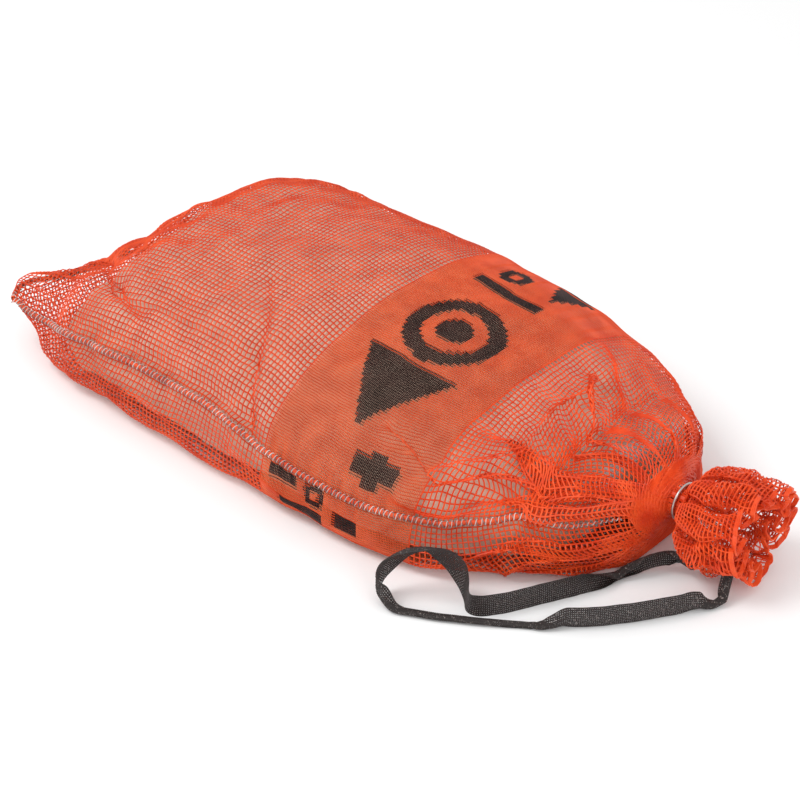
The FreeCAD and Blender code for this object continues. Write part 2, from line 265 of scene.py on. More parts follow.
# The near end of the bottom seam puffs up and curls: where, over what width, thicker by, higher by.
EAR_AT, EAR_WIDE, EAR_PUFF, EAR_LIFT = 114.0, 26.0, 3.6, 6.0
CORNER_WIDE, CORNER_DEPTH = 30.0, 13.0  # rounding of the seam's corners in plan
NECK_X, NECK_SIDE, NECK_HEIGHT, NECK_RADIUS = 258.0, 11.0, 50.0, 12.5
BAND_START, BAND_END = -20.0, 122.0
CROWN_POWER, BELLY_POWER, BELLY_DIP = 2.35, 3.0, 9.0
NET_FLOOR = 1.0
RING_POINTS = 720
RING_STEP = 3.0
RING_TURNS = np.linspace(0, TAU, RING_POINTS, endpoint=False)
FLAP_RINGS, THROAT_RINGS = 14, 6  # between the full sack and the bottom seam, and the neck
SEAM_POWER = 0.8  # how square the flat bottom seam's section is


def refined(stations, times=3):
    """Stations with more between them, on a smooth curve through them all."""
    table = np.array(stations, float)
    for _ in range(times):
        ends = np.vstack([2 * table[0] - table[1], table, 2 * table[-1] - table[-2]])
        halfway = (9 * (ends[1:-2] + ends[2:-1]) - ends[:-3] - ends[3:]) / 16
        merged = np.empty((len(table) + len(halfway), table.shape[1]))
        merged[0::2], merged[1::2] = table, halfway
        table = merged
    return table


def powered(values, power):
    return np.sign(values) * np.abs(values) ** power


def sack_ring(near, far, near_edge, far_edge, top, ground, crown=CROWN_POWER):
    """Y and Z round the full sack, from the near side's widest line up over the top."""
    across, rise = -np.cos(RING_TURNS), np.sin(RING_TURNS)
    y = (near + far) / 2 + (far - near) / 2 * powered(across, 2 / crown)
    edge = (near_edge + far_edge) / 2 + (far_edge - near_edge) / 2 * across
    over = edge + (top - edge) * np.abs(rise) ** (2 / crown)
    under = edge - (edge - ground + BELLY_DIP) * np.abs(rise) ** (2 / BELLY_POWER)
    return np.stack([y, np.maximum(np.where(rise >= 0, over, under), ground)], -1)


def seam_ring():
    """X, Y and Z round the flat bottom seam."""
    across = -SEAM_HALF * powered(np.cos(RING_TURNS), SEAM_POWER)
    puff = np.exp(-(((across + EAR_AT) / EAR_WIDE) ** 2))
    rise = SEAM_THICK * powered(np.sin(RING_TURNS), SEAM_POWER) * (1 + EAR_PUFF * puff) + EAR_LIFT * puff
    past_corner = (np.abs(across) - SEAM_HALF + CORNER_WIDE) / CORNER_WIDE
    corner = CORNER_DEPTH * np.clip(past_corner, 0, 1) ** 2
    x = SEAM_END + across * math.sin(SEAM_YAW) + corner
    y = across * math.cos(SEAM_YAW)
    return np.stack([x, y, SEAM_HEIGHT - across * math.tan(SEAM_TILT) + rise], -1)


def neck_ring(x, side, height, radius):
    y = side - radius * np.cos(RING_TURNS)
    return np.stack([np.full(RING_POINTS, x), y, height + radius * np.sin(RING_TURNS)], -1)


def ring_positions():
    """X of the rings along the full sack, with one on each edge of the woven band."""
    first, last = NET_STATIONS[0][0], NET_STATIONS[-1][0]
    edges = (first, BAND_START, BAND_END, last)
    spans = [np.linspace(a, b, round((b - a) / RING_STEP)) for a, b in zip(edges, edges[1:])]
    return np.unique(np.concatenate(spans))


def girth(ring):
    return np.linalg.norm(ring - np.roll(ring, -1, axis=0), axis=1).sum()


def seam_start(ring):
    """How far up a ring, as a share of its length, the side seam lies."""
    x = ring[0, 0]
    height = np.interp(x, *zip(*SEAM_LINE))
    climb = ring[: RING_POINTS // 4]
    index = int(np.argmax(climb[:, 2] >= height))
    steps = np.linalg.norm(np.diff(climb[: index + 1], axis=0), axis=1)
    return steps.sum() / girth(ring)


def net_rings():
    """Rings from the bottom seam to the neck as (X, Y, Z points, where the seam lies on each)."""
    table = refined(NET_STATIONS)
    body = []
    for x in ring_positions():
        sizes = [np.interp(x, table[:, 0], table[:, k]) for k in range(1, 6)]
        body.append(np.column_stack([np.full(RING_POINTS, x), sack_ring(*sizes, NET_FLOOR)]))
    start = seam_ring()
    neck = neck_ring(NECK_X, NECK_SIDE, NECK_HEIGHT, NECK_RADIUS)
    first, last = seam_start(body[0]), seam_start(body[-1])
    flap = [
        (start + (body[0] - start) * share, first * share)
        for share in np.linspace(0, 1, FLAP_RINGS + 1)[:-1]
    ]
    throat = [
        (body[-1] + (neck - body[-1]) * share, last * (1 - share))
        for share in np.linspace(0, 1, THROAT_RINGS + 1)[1:]
    ]
    return flap + [(ring, seam_start(ring)) for ring in body] + throat


# ---- the net's grid ------------------------------------------------------------------------------

NET_GIRTH = 712.0
PITCH = 4.2
WARPS = 170
FINE = 2  # grid points for each thread
BAND_PITCH = 1.45  # between the woven band's wefts
# Flat length of each zone of the net, in metres.
LOWER_LENGTH, BAND_LENGTH, UPPER_LENGTH, FRILL_CLOTH = 0.325, 0.144, 0.218, 0.111
COLUMNS = WARPS * FINE


def along_ring(ring, shares):
    """Points on a closed line at shares of its length; shares may run past 0 and 1."""
    closed = np.vstack([ring, ring[:1]])
    reached = lengths_along(closed)
    wrapped = (shares % 1) * reached[-1]
    return np.stack([np.interp(wrapped, reached, closed[:, k]) for k in range(3)], -1)


# Pleats that gather the net into the neck: place round the net (0 is the near seam, 0.25 the top,
# 0.5 the far side), half-width in millimetres of net, X where it begins, strength, and lean.
PLEATS = [
    (0.035, 12, 150, 1.0, 1),
    (0.085, 10, 185, 0.8, -1),
    (0.13, 13, 118, 1.3, 1),
    (0.18, 10, 195, 0.8, -1),
    (0.23, 11, 170, 0.9, 1),
    (0.29, 10, 205, 0.8, 1),
    (0.34, 11, 190, 0.8, -1),
    (0.40, 10, 200, 0.8, 1),
    (0.455, 12, 175, 1.0, -1),
    (0.53, 12, 165, 1.0, 1),
    (0.61, 12, 185, 1.0, -1),
    (0.70, 12, 185, 1.0, 1),
    (0.79, 12, 185, 1.0, -1),
    (0.88, 12, 175, 1.0, 1),
    (0.95, 12, 160, 1.0, -1),
]
PLEATED_FROM = 60.0  # X past which creases belong to the pleats and don't shape the pillow
PLEAT_GROWTH = 55.0  # X over which a pleat reaches full strength
PLEAT_HEIGHT = 5.0
PLEATS_FULL = 0.08  # share of the net in pleats at which they take up all of its spare girth
PLEATS_FADE = 230.0  # X past which pleats stand out less and less, down to nothing at the neck


def ring_map(x, shares, around):
    """Where each column lies round a ring, and how far pleats lift it.

    shares are the columns' places in the flat net, and around is the ring's own girth.
    """
    spare = max(0.0, 1 - around / NET_GIRTH)
    density = np.ones_like(shares)
    lift = np.zeros_like(shares)
    grown = [(p, p[3] * float(eased(x, p[2], p[2] + PLEAT_GROWTH))) for p in PLEATS]
    taken = sum(power * p[1] / NET_GIRTH for p, power in grown)
    if taken > 1e-4:
        strength = spare / taken * min(1.0, taken / PLEATS_FULL)
        for (centre, half, _, _, lean), power in grown:
            apart = (shares - centre + 0.5) % 1 - 0.5
            reach = np.clip(np.abs(apart) * NET_GIRTH / half, 0, 1)
            density -= strength * power * (0.5 + 0.5 * np.cos(math.pi * reach))
            side = (apart * NET_GIRTH + lean * half * 0.6) / (half * 1.3)
            lift += min(1.0, strength * power) * power * np.exp(-side * side)
    placed = np.concatenate([[0], np.cumsum((density + np.roll(density, -1)) / 2)])
    placed = placed[:-1] / placed[-1]
    return placed, lift * PLEAT_HEIGHT * float(1 - eased(x, PLEATS_FADE, NECK_X))


def resampled(rows, count):
    """Each column cut again into equal steps along its own length."""
    steps = np.linalg.norm(np.diff(rows, axis=0), axis=2)
    reached = np.vstack([np.zeros(rows.shape[1]), np.cumsum(steps, axis=0)])
    result = np.empty((count + 1, rows.shape[1], 3))
    for column in range(rows.shape[1]):
        wanted = np.linspace(0, reached[-1, column], count + 1)
        for axis in range(3):
            result[:, column, axis] = np.interp(wanted, reached[:, column], rows[:, column, axis])
    return result


def grid_normals(grid):
    """Unit normals that point out of the sack."""
    down = np.gradient(grid, axis=0)
    round_ = np.roll(grid, -1, axis=1) - np.roll(grid, 1, axis=1)
    return unit(np.cross(down, round_))


# Creases on the net: (X, millimetres up from the side seam) at each end, half-width,
# lift (below 0 a valley), and pinch, which above 1 folds the net over itself.
CREASES = [
    ((-112, 118), (-58, 48), 8, -3.0, 0.9),
    ((-62, 54), (-37, 2), 7, -3.5, 1.1),
    ((-330, 44), (-262, 52), 11, 6.0, 0.8),
    ((-318, 112), (-236, 50), 10, -6.5, 1.1),
    ((-240, 52), (-190, 38), 9, -4.0, 0.9),
    ((-322, 60), (-292, 100), 8, 4.0, 0.9),
    ((-334, 22), (-290, 26), 7, 3.0, 0.9),
    ((-300, 150), (-250, 135), 10, -3.0, 0.6),
    ((-312, 190), (-262, 180), 12, 3.0, 0.5),
    ((72, 62), (130, 38), 6, 3.0, 1.5),
    ((124, 44), (168, 82), 8, 5.5, 1.3),
    ((163, 90), (157, 208), 9, 6.5, 1.3),
    ((150, 212), (215, 178), 8, 5.0, 1.8),
    ((128, 34), (200, 58), 9, 6.0, 1.9),
    ((150, 20), (205, 30), 8, -3.0, 0.9),
    ((100, 12), (168, 8), 9, 3.0, 0.8),
    ((130, 250), (190, 235), 12, 3.0, 0.8),
    ((120, -40), (200, -30), 10, 3.0, 0.9),
    ((150, -85), (215, -60), 10, 3.5, 1.0),
    ((-200, -22), (-120, -30), 9, 2.5, 0.6),
    ((-60, -20), (20, -28), 9, 2.0, 0.6),
]


CREASE_WANDER, CREASE_BEND = 2.0, 13.0  # how far a crease strays from straight, and how quickly


def creased(rows, up_from_seam, creases):
    """The net with creases: each lifts, or lowers, a line of it and draws its sides together."""
    normals = grid_normals(rows)
    forward = unit(np.gradient(rows, axis=0))
    upward = unit(np.roll(rows, -1, axis=1) - np.roll(rows, 1, axis=1))
    moved = rows.copy()
    for start, end, half, lift, pinch in creases:
        run = np.subtract(end, start)
        length = np.hypot(*run)
        run = run / length
        dx, dy = rows[..., 0] - start[0], up_from_seam - start[1]
        along, aside = dx * run[0] + dy * run[1], dy * run[0] - dx * run[1]
        aside = aside + CREASE_WANDER * np.sin(along / CREASE_BEND + start[0])
        strength = eased(along, -half, half) * eased(-along, -length - half, half - length)
        strength = strength * np.exp(-((aside / half) ** 2))
        across = upward * run[0] - forward * run[1]
        inward = across * (pinch * aside * strength)[..., None]
        moved += normals * (lift * strength)[..., None] - inward
    return moved


def relief(rows, up_from_seam):
    """How far the net stands out from its plain form: slack lumps and gathers along both seams."""
    x = rows[..., 0]
    lumps = 1.2 * drift(rows, 80, 11) + 0.55 * drift(rows, 30, 12)
    slack = eased(np.abs(x - 20), 100, 260)
    lumps += slack * (1.4 * drift(rows, 42, 13) + 0.9 * drift(rows, 22, 14))
    puckers = np.sin(x / 2.3 + 1.2 * drift(rows, 40, 15)) * np.exp(-((up_from_seam / 15) ** 2))
    gathers = np.sin(up_from_seam / 3.1 + 1.5 * drift(rows, 50, 16)) * eased(-x, 285, 330)
    closing = 1 - eased(x, 225, 256)
    return (lumps + 0.9 * puckers + 1.1 * gathers) * closing * eased(x, -345, -318)


def net_rows(gathered=True):
    """The net ring by ring, gathered, creased and rumpled."""
    shares = np.arange(COLUMNS) / COLUMNS
    rows = []
    for ring, seam_at in net_rings():
        placed, lift = ring_map(float(np.median(ring[:, 0])), shares, girth(ring))
        if not gathered:
            placed, lift = shares, np.zeros_like(shares)
        points = along_ring(ring, placed + seam_at)
        middle = points.mean(axis=0)
        out = unit((points - middle) * (0, 1, 1))
        rows.append(points + out * lift[:, None])
    rows = np.array(rows)
    up_from_seam = np.broadcast_to(((shares + 0.5) % 1 - 0.5) * NET_GIRTH, rows.shape[:2])
    chosen = [crease for crease in CREASES if gathered or crease[0][0] < PLEATED_FROM]
    rows = creased(rows, up_from_seam, chosen)
    rows += grid_normals(rows) * relief(rows, up_from_seam)[..., None]
    rows[..., 2] = np.maximum(rows[..., 2], NET_FLOOR)
    return rows


def net_zones(rows):
    """The net's grid in its three woven zones: below the band, the band, and up to the neck."""
    middle_x = np.median(rows[:, :, 0], axis=1)
    edges = [int(np.argmin(np.abs(middle_x - x))) for x in (BAND_START, BAND_END)]
    marks = [0, *edges, len(rows) - 1]
    zones = []
    for low, high in zip(marks, marks[1:]):
        part = rows[low : high + 1]
        length = np.linalg.norm(np.diff(part, axis=0), axis=2).sum(axis=0).mean()
        zones.append(resampled(part, FINE * round(length / PITCH)))
    return zones


# ---- threads and other swept shapes --------------------------------------------------------------


def swept(lines, ups, profile, closed):
    """Vertices and quads of profile carried along each line.

    lines and ups are (line, point, 3) arrays, and profile is (corner, 2): sideways and up.
    profile may also be (line, point, corner, 2), where the section changes along a line.
    """
    count, length = lines.shape[:2]
    if closed:
        along = np.roll(lines, -1, axis=1) - np.roll(lines, 1, axis=1)
    else:
        along = np.gradient(lines, axis=1)
    side = unit(np.cross(unit(along), ups))
    up = np.cross(side, unit(along))
    profile = np.broadcast_to(profile, (count, length, *np.shape(profile)[-2:]))
    corners = profile.shape[2]
    verts = (
        lines[:, :, None]
        + side[:, :, None] * profile[..., :1]
        + up[:, :, None] * profile[..., 1:]
    ).reshape(-1, 3)
    steps = length if closed else length - 1
    line, point, corner = np.meshgrid(
        np.arange(count), np.arange(steps), np.arange(corners), indexing="ij"
    )
    after, beside = (point + 1) % length, (corner + 1) % corners

    def index(p, c):
        return (line * length + p) * corners + c

    quads = np.stack(
        [index(point, corner), index(after, corner), index(after, beside), index(point, beside)], -1
    )
    return verts, quads.reshape(-1, 4)


def piece(name, parts, materials, smooth=False):
    """An object made of (vertices, quads, material numbers) parts, put into metres."""
    verts = np.concatenate([part[0] for part in parts]) * MM
    offsets = np.cumsum([0] + [len(part[0]) for part in parts[:-1]])
    quads = np.concatenate([part[1] + offset for part, offset in zip(parts, offsets)])
    slots = np.concatenate([np.broadcast_to(part[2], len(part[1])) for part in parts])
    mesh = bpy.data.meshes.new(name)
    mesh.vertices.add(len(verts))
    mesh.vertices.foreach_set("co", verts.astype(np.float32).ravel())
    mesh.loops.add(quads.size)
    mesh.loops.foreach_set("vertex_index", quads.astype(np.int32).ravel())
    mesh.polygons.add(len(quads))
    mesh.polygons.foreach_set("loop_start", np.arange(0, quads.size, 4, dtype=np.int32))
    mesh.polygons.foreach_set("material_index", slots.astype(np.int32))
    mesh.polygons.foreach_set("use_smooth", np.full(len(quads), smooth))
    mesh.update(calc_edges=True)
    for material in materials:
        mesh.materials.append(material)
    made = bpy.data.objects.new(name, mesh)
    bpy.context.collection.objects.link(made)
    return made


THREAD_WIDTHS, THREAD_THICK = (1.2, 1.2), 0.7
THREAD_LIFT = 0.18  # warps lie this far inside the wefts


TIP_REACH, TIP_SIZE = 0.03, 0.02  # a thread's closed tip: share of a step past its end, and size


def flat_thread(width, thick=THREAD_THICK):
    return np.array([(-width / 2, -thick / 3), (width / 2, -thick / 3), (0, thick * 2 / 3)])


def pointed(lines, ups, profile):
    """Lines with one more point just past each end, where the profile shrinks to nothing."""
    first = lines[:, :1] + (lines[:, :1] - lines[:, 1:2]) * TIP_REACH
    last = lines[:, -1:] + (lines[:, -1:] - lines[:, -2:-1]) * TIP_REACH
    longer = np.concatenate([first, lines, last], axis=1)
    more_ups = np.concatenate([ups[:, :1], ups, ups[:, -1:]], axis=1)
    profiles = np.broadcast_to(profile, (*longer.shape[:2], *profile.shape)).copy()
    profiles[:, [0, -1]] *= TIP_SIZE
    return longer, more_ups, profiles


def woven(grid, warp_rows, weft_rows, weft_step, warp_step=FINE, lift=THREAD_LIFT, widths=THREAD_WIDTHS):
    """Warps and wefts laid on a grid of points, with the printed stretches in other materials.

    There is a warp at every warp_step columns, with a point on every warp_rows rows, and a weft at
    every weft_rows rows, with a point on every weft_step columns.
    """
    normals = grid_normals(grid)
    warps = (grid - normals * lift)[::warp_rows, ::warp_step].swapaxes(0, 1)
    wefts = (grid + normals * lift)[::weft_rows, ::weft_step]
    up_from_seam = ((np.arange(COLUMNS) / COLUMNS + 0.5) % 1 - 0.5) * NET_GIRTH
    height = np.broadcast_to(up_from_seam, grid.shape[:2])
    warp_ups = normals[::warp_rows, ::warp_step].swapaxes(0, 1)
    weft_ups = normals[::weft_rows, ::weft_step]
    warp_height = height[::warp_rows, ::warp_step].T
    weft_height = height[::weft_rows, ::weft_step]
    parts = []
    for lines, ups, above_seam, closed, slot, width in (
        (warps, warp_ups, warp_height, False, WARP, widths[0]),
        (wefts, weft_ups, weft_height, True, WEFT, widths[1]),
    ):
        inked = printed(lines[..., 0], above_seam)
        profile = flat_thread(width)
        if not closed:
            inked = np.concatenate([inked[:, :1], inked], axis=1)
            lines, ups, profile = pointed(lines, ups, profile)
        verts, quads = swept(lines, ups, profile, closed)
        parts.append((verts, quads, slot + INKED * np.repeat(inked.ravel(), 3)))
    return parts


# ---- the print on the band -----------------------------------------------------------------------

WARP, WEFT, INKED = 0, 1, 2
# Plain marks: kind, X and millimetres up from the seam of the middle, and two sizes.
MARKS = [
    ("disc", 48, 166, 41, 27),
    ("disc", 48, 166, 15, 0),
    ("wedge", 47, 84, 43, 34),
    ("bar", 79, 26, 20, 9),
    ("bar", 79, 26, 7, 14),
    ("bar", 2, -10, 14, 5),
    ("disc", 33, -14, 10, 4),
    ("bar", 64, -24, 12, 7),
    ("bar", 20, -30, 22, 4),
    ("bar", 40, 238, 34, 7),
    ("disc", 24, 268, 14, 6),
    ("wedge", 68, 278, 20, 20),
    ("bar", 44, 308, 36, 6),
]


def printed(x, above_seam):
    """True where the band carries a printed mark."""
    inked = np.zeros(np.shape(x), bool)
    for kind, mid_x, mid_y, reach, other in MARKS:
        dx, dy = np.abs(x - mid_x), above_seam - mid_y
        if kind == "disc":
            distance = np.hypot(dx, dy)
            inked |= (distance < reach) & (distance >= other)
        elif kind == "bar":
            inked |= (dx < reach) & (np.abs(dy) < other)
        else:
            inked |= (np.abs(dy) < other) & (dx < reach * (dy + other) / (2 * other))
    return inked


# ---- the frill -----------------------------------------------------------------------------------

FRILL_LENGTH = 57.0
FRILL_YAW, FRILL_DROP = math.radians(11), math.radians(5.5)
FRILL_START = 270.0
FRILL_CELLS = 20
FRILL_FINE = 3
# Along the frill: share of its length, middle radius, height of its folds, how far they bulge.
FRILL_STATIONS = [
    (0.0, 12.0, 1.0, 0.0),
    (0.07, 21.0, 4.0, 1.0),
    (0.18, 31.0, 6.5, 3.0),
    (0.45, 36.0, 8.0, 5.5),
    (0.75, 35.0, 9.0, 6.5),
    (1.0, 30.0, 9.5, 6.5),
]
FRILL_CRUMPLE = 3.6  # how far the frill is rumpled at its rim
FRILL_FOLDS = 11


def frill_grid(neck_row):
    """The net past the neck, ruffled into deep folds."""
    table = refined(FRILL_STATIONS, 2)
    count = FRILL_CELLS * FRILL_FINE
    phi = TAU * np.arange(COLUMNS) / COLUMNS
    rows = []
    for share in np.linspace(0, 1, count + 1):
        radius, wave, bulge = [np.interp(share, table[:, 0], table[:, k]) for k in (1, 2, 3)]
        psi = FRILL_FOLDS * phi + 1.3 * np.sin(2 * phi + 1) + 0.9 * np.sin(3 * phi + 2.2)
        psi = psi + 0.8 * np.sin(phi + 4 * share) + 0.5 * np.sin(5 * phi + 6 * share)
        uneven = 0.85 + 0.28 * np.sin(2 * phi + 0.7) + 0.2 * np.sin(5 * phi + 3)
        reach = radius + wave * np.cos(psi) * uneven
        turn = phi + bulge / np.maximum(reach, 8) * np.sin(2 * psi)
        along = FRILL_LENGTH * share + 4.5 * share**2 * np.cos(psi + 1.2) - 3.0 * share * np.sin(2 * phi)
        x = FRILL_START + along
        y = NECK_SIDE + along * math.tan(FRILL_YAW) - reach * np.cos(turn)
        z = NECK_HEIGHT - along * math.tan(FRILL_DROP) + reach * np.sin(turn)
        rows.append(np.stack([x, y, z], -1))
    grid = np.array(rows)
    growth = eased(np.linspace(0, 1, count + 1), 0.05, 0.6)[:, None]
    rumple = FRILL_CRUMPLE * (drift(grid, 21, 5) + 0.55 * drift(grid, 9, 6)) * growth
    grid += grid_normals(grid) * rumple[..., None]
    join = eased(np.linspace(0, 1, count + 1), 0, 0.14)[:, None, None]
    shift = np.array([FRILL_START - NECK_X, 0, 0])
    grid = (neck_row + shift) * (1 - join) + grid * join
    grid[..., 2] = np.maximum(grid[..., 2], NET_FLOOR + 0.3)
    return grid


# ---- seams, selvage and tape ---------------------------------------------------------------------

def round_profile(radius, corners=6):
    turns = np.linspace(0, TAU, corners, endpoint=False)
    return radius * np.stack([np.cos(turns), np.sin(turns)], -1)


def evenly(line, step):
    """An open line cut again into equal steps."""
    reached = lengths_along(line)
    wanted = np.linspace(0, reached[-1], max(2, round(reached[-1] / step)))
    return np.stack([np.interp(wanted, reached, line[:, k]) for k in range(3)], -1)


def smoothed(line, times):
    for _ in range(times):
        line = np.vstack([line[:1], (line[:-2] + 2 * line[1:-1] + line[2:]) / 4, line[-1:]])
    return line


STITCH_PITCH = 4.4
STITCH_THREAD = 0.36
STITCH_JITTER = 0.9  # radians by which stitches wander along the seam
STITCH_LEAN = 0.25  # how far a stitch leans as it goes over and under the seam
# Of each thread: hand, reach as a share of the seam's half sizes, turn at the start, and material.
STITCHES = ((1, 1.0, 0.0, 0), (-1, 0.93, 0.9, 1))
CORE_CORNERS = 8
CORE_SIDE, CORE_TOP = 0.5, 0.4  # how far inside the stitches the rolled net stays
CORE_SWELL = 0.12


def overlock(line, ups, wide, high):
    """Two threads wound round a seam in opposite hands, and the rolled net that they hold.

    wide and high are the seam's half sizes: numbers, or one for each point of the line.
    """
    wide, high = [np.broadcast_to(value, len(line)) for value in (wide, high)]
    along = unit(np.gradient(line, axis=0))
    side = unit(np.cross(along, ups))
    reached = lengths_along(line)
    jitter = STITCH_JITTER * drift(line, 13, 21)
    thread = round_profile(STITCH_THREAD, 5)
    parts = []
    for hand, reach, first_turn, slot in STITCHES:
        turn = hand * TAU * reached / STITCH_PITCH + jitter + first_turn
        lift = np.sin(turn) + STITCH_LEAN * np.sin(2 * turn)
        aside, above = wide * reach * np.cos(turn), high * reach * lift
        chain = line + side * aside[:, None] + ups * above[:, None]
        parts.append((*swept(chain[None], ups[None], thread, False), slot))
    swell = 1 + CORE_SWELL * np.sin(TAU * reached / STITCH_PITCH)[:, None, None]
    halves = np.stack([wide - CORE_SIDE, high - CORE_TOP], -1)[:, None]
    core = round_profile(1.0, CORE_CORNERS) * halves * swell
    parts.append((*swept(line[None], ups[None], core[None], False), 2))
    return parts


# ---- the pillow ----------------------------------------------------------------------------------

PILLOW_FIRST, PILLOW_LAST = -274.0, 220.0
PILLOW_EDGE = 44.0
PILLOW_FLOOR = 2.2
PILLOW_CLOSING = 30.0, 42.0  # X over which each end rounds down to its seal
PILLOW_THINNEST = 0.002  # share of its closing where an end stops
PILLOW_TAPER = 0.2  # how much narrower the ends are
NET_GAP = 2.6  # from the middle of the net's threads to the liner
# The slack net stands off low down: on the near side, on the far side, and more along one stretch.
SLACK_NEAR, SLACK_FAR, SLACK_STRIP = 9.0, 3.0, 6.0
LINER_LUMPS, LINER_RIPPLES, LINER_SUNK = 0.5, 0.35, 0.6


def pillow_grid(rows, inset, seed):
    """Rings of the pillow: the net's ungathered rings drawn in, closed to a thin seal at each end."""
    x = np.median(rows[..., 0], axis=1)
    rows = rows[(x > PILLOW_FIRST) & (x < PILLOW_LAST)][:, ::2]
    for _ in range(3):
        rows = (np.roll(rows, 1, axis=1) + 2 * rows + np.roll(rows, -1, axis=1)) / 4
    normals = grid_normals(rows)
    across = rows[..., 1] - np.mean(rows[..., 1], axis=1, keepdims=True)
    low_near = eased(-rows[..., 2], -48, -18) * eased(-across, 30, 90)
    low_far = eased(-rows[..., 2], -70, -25) * eased(across, 30, 90)
    strip = eased(rows[..., 0], -90, -40) * eased(-rows[..., 0], -150, -110)
    gap = NET_GAP + inset + SLACK_NEAR * low_near + (SLACK_FAR + SLACK_STRIP * strip) * low_far
    grid = rows - normals * gap[..., None]
    lumps = LINER_LUMPS * drift(grid, 26, seed) + LINER_RIPPLES * drift(grid, 11, seed + 1)
    grid += normals * (lumps - LINER_SUNK)[..., None]
    place = grid[..., 0]
    from_first = (place - PILLOW_FIRST + inset) / PILLOW_CLOSING[0]
    from_last = (PILLOW_LAST - place + inset) / PILLOW_CLOSING[1]
    ends = np.clip(np.minimum(from_first, from_last), PILLOW_THINNEST, 1)
    closing = np.sqrt(1 - (1 - ends) ** 2)[..., None]
    middle = np.concatenate(
        [
            place[..., None],
            np.broadcast_to(np.mean(grid[..., 1], axis=1)[:, None, None], (*place.shape, 1)),
            np.full((*place.shape, 1), PILLOW_EDGE),
        ],
        -1,
    )
    narrowed = 1 - PILLOW_TAPER + PILLOW_TAPER * closing
    shrink = np.concatenate([np.ones_like(closing), narrowed, closing], -1)
    grid = middle + (grid - middle) * shrink
    grid[..., 2] = np.maximum(grid[..., 2], PILLOW_FLOOR + inset)
    return grid


def skin(grid):
    """Quads over a grid of closed rings, with a flat cap at each end."""
    count, around = grid.shape[:2]
    row, column = np.meshgrid(np.arange(count - 1), np.arange(around), indexing="ij")
    here, beside = row * around + column, row * around + (column + 1) % around
    sides = np.stack([here, beside, beside + around, here + around], -1).reshape(-1, 4)
    step = np.arange(around // 2 - 1)
    cap = np.stack([step, step + 1, around - 2 - step, around - 1 - step], -1)
    return grid.reshape(-1, 3), np.concatenate([sides[:, ::-1], cap, cap[:, ::-1] + (count - 1) * around])


CRIMP_PITCH, CRIMP_DEPTH = 3.0, 0.22
FIN_STEP, FIN_WAVE = 0.75, 0.8
FIN_HALF_THICK, FIN_RIDGE = 0.6, 0.75


def crimped_fin(x, near, far, height, width, seed):
    """A heat-sealed fin: a thin strip across the sack, crimped and a little wavy."""
    y = np.linspace(near, far, round((far - near) / FIN_STEP))
    line = np.stack([np.full_like(y, x), y, np.full_like(y, height)], -1)
    line[:, 2] += FIN_WAVE * drift(line, 38, seed) + CRIMP_DEPTH * np.sin(TAU * y / CRIMP_PITCH)
    line[:, 0] += FIN_WAVE * drift(line, 60, seed + 1)
    ups = np.broadcast_to(np.array([0.0, 0.0, 1.0]), line.shape)
    half = width / 2
    thick = FIN_HALF_THICK
    profile = np.array([(-half, -thick), (half, -thick), (half, thick), (0, FIN_RIDGE), (-half, thick)])
    return (*swept(line[None], ups[None], profile, False), 0)


# ---- the draw tape -------------------------------------------------------------------------------

# The tape's route in metres: out of the frill, down along the floor, up in a loop, and back.
TAPE_ROUTE = [
    (0.292, -0.012, 0.0145),
    (0.281, -0.010, 0.016),
    (0.269, -0.013, 0.015),
    (0.257, -0.026, 0.012),
    (0.248, -0.046, 0.010),
    (0.236, -0.079, 0.0098),
    (0.217, -0.116, 0.0098),
    (0.200, -0.146, 0.0098),
    (0.188, -0.153, 0.0105),
    (0.179, -0.144, 0.015),
    (0.170, -0.140, 0.024),
    (0.159, -0.143, 0.035),
    (0.148, -0.150, 0.041),
    (0.136, -0.159, 0.039),
    (0.126, -0.168, 0.031),
    (0.121, -0.178, 0.020),
    (0.126, -0.187, 0.012),
    (0.140, -0.189, 0.0098),
    (0.159, -0.181, 0.0098),
    (0.192, -0.163, 0.0098),
    (0.225, -0.141, 0.0098),
    (0.250, -0.122, 0.0098),
    (0.274, -0.098, 0.0098),
    (0.297, -0.067, 0.0098),
    (0.318, -0.035, 0.0098),
    (0.325, -0.019, 0.0098),
]
TAPE_LENGTH, TAPE_WIDTH = 0.571, 0.019  # in metres; the length is the route's, without tucked ends
# The ends that are tucked up into the frill, past the route's first and last points.
TAPE_TUCKED = [(0.007, 0.006, 0.010), (-0.004, 0.013, 0.011)]
TAPE_WARPS = 12
TAPE_STEP = 1.6
TAPE_CLEARANCE = 0.7  # the lowest line of threads above the floor
TAPE_EDGE = 0.6  # how much narrower the grid is than the tape, as the outer threads overhang it
TAPE_SPIRAL = 0.04  # growth of a roll's radius for each radian, so that its turns don't touch
TAPE_WAVER = 0.25
